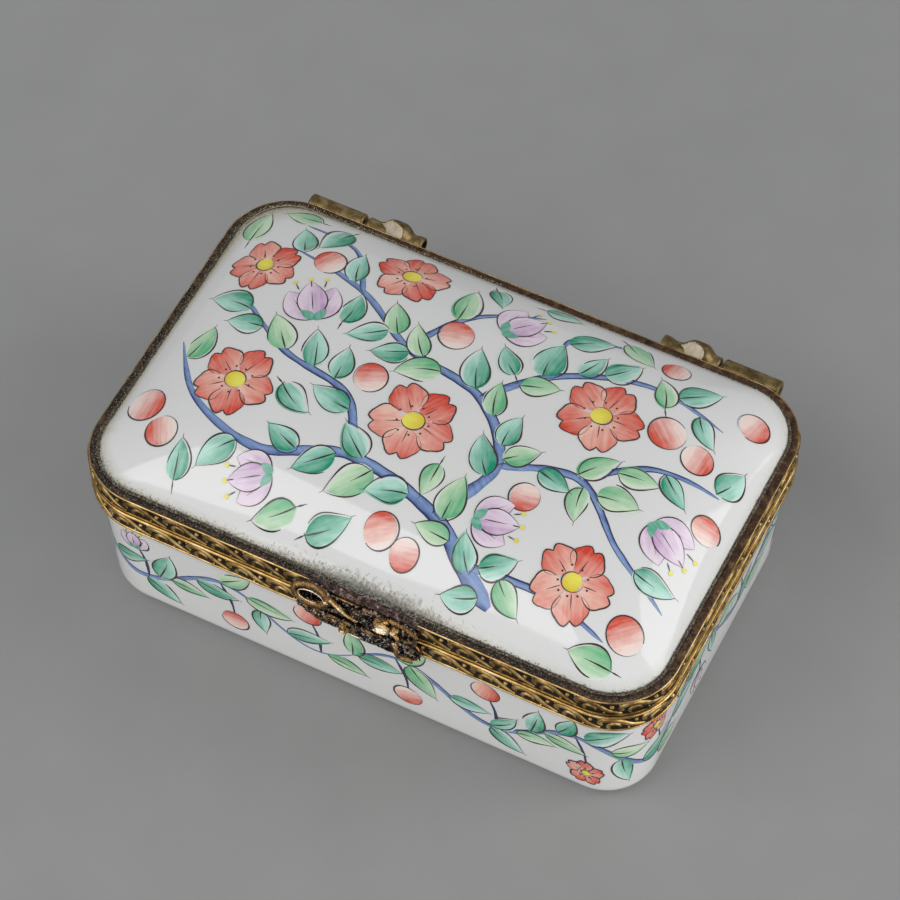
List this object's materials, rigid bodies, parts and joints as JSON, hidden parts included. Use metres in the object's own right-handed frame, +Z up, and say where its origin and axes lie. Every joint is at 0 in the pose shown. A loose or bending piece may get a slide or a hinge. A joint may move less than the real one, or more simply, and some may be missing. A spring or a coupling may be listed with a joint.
{
  "type": "porcelain trinket box",
  "caption": "Rectangular porcelain trinket box with a domed lid hinged at the back, painted with a flowering vine, in aged brass rims with a ribbon bow clasp.",
  "frame": {"origin": "centre of the flat underside, on the surface it stands on", "axes": "+X to the right along the long side, seen from the clasp; +Y from the clasp to the hinges; +Z up"},
  "size_m": [0.0704, 0.0511, 0.0306],
  "materials": {
    "porcelain": "clear glaze over painted decoration",
    "brass_band": "aged, chased relief on a dark ground",
    "brass_cast": "dull tarnished casting",
    "pin_brass": "dull drawn wire",
    "cement": "dry, grimed"
  },
  "bodies": {
    "box": {"porcelain_base": "porcelain", "base_cement": "cement", "base_band": "brass_band", "base_mouth_wire": "brass_band", "base_edge_wire": "brass_band", "clasp_keeper": "brass_cast", "catch_peg": "brass_band", "left_base_knuckle": "brass_cast", "right_base_knuckle": "brass_cast", "left_hinge_pin": "pin_brass", "right_hinge_pin": "pin_brass"},
    "lid": {"porcelain_lid": "porcelain", "lid_cement": "cement", "lid_band": "brass_band", "lid_mouth_wire": "brass_band", "lid_edge_wire": "brass_band", "clasp_bow": "brass_cast", "catch_prong": "brass_band", "left_lid_knuckle": "brass_cast", "right_lid_knuckle": "brass_cast"}
  },
  "joints": [
    {"name": "lid_hinge", "type": "hinge", "parent": "box", "child": "lid", "pos_m": [0, 0.02415, 0.0208], "axis": [-1, 0, 0], "range_deg": [0, 95]}
  ]
}
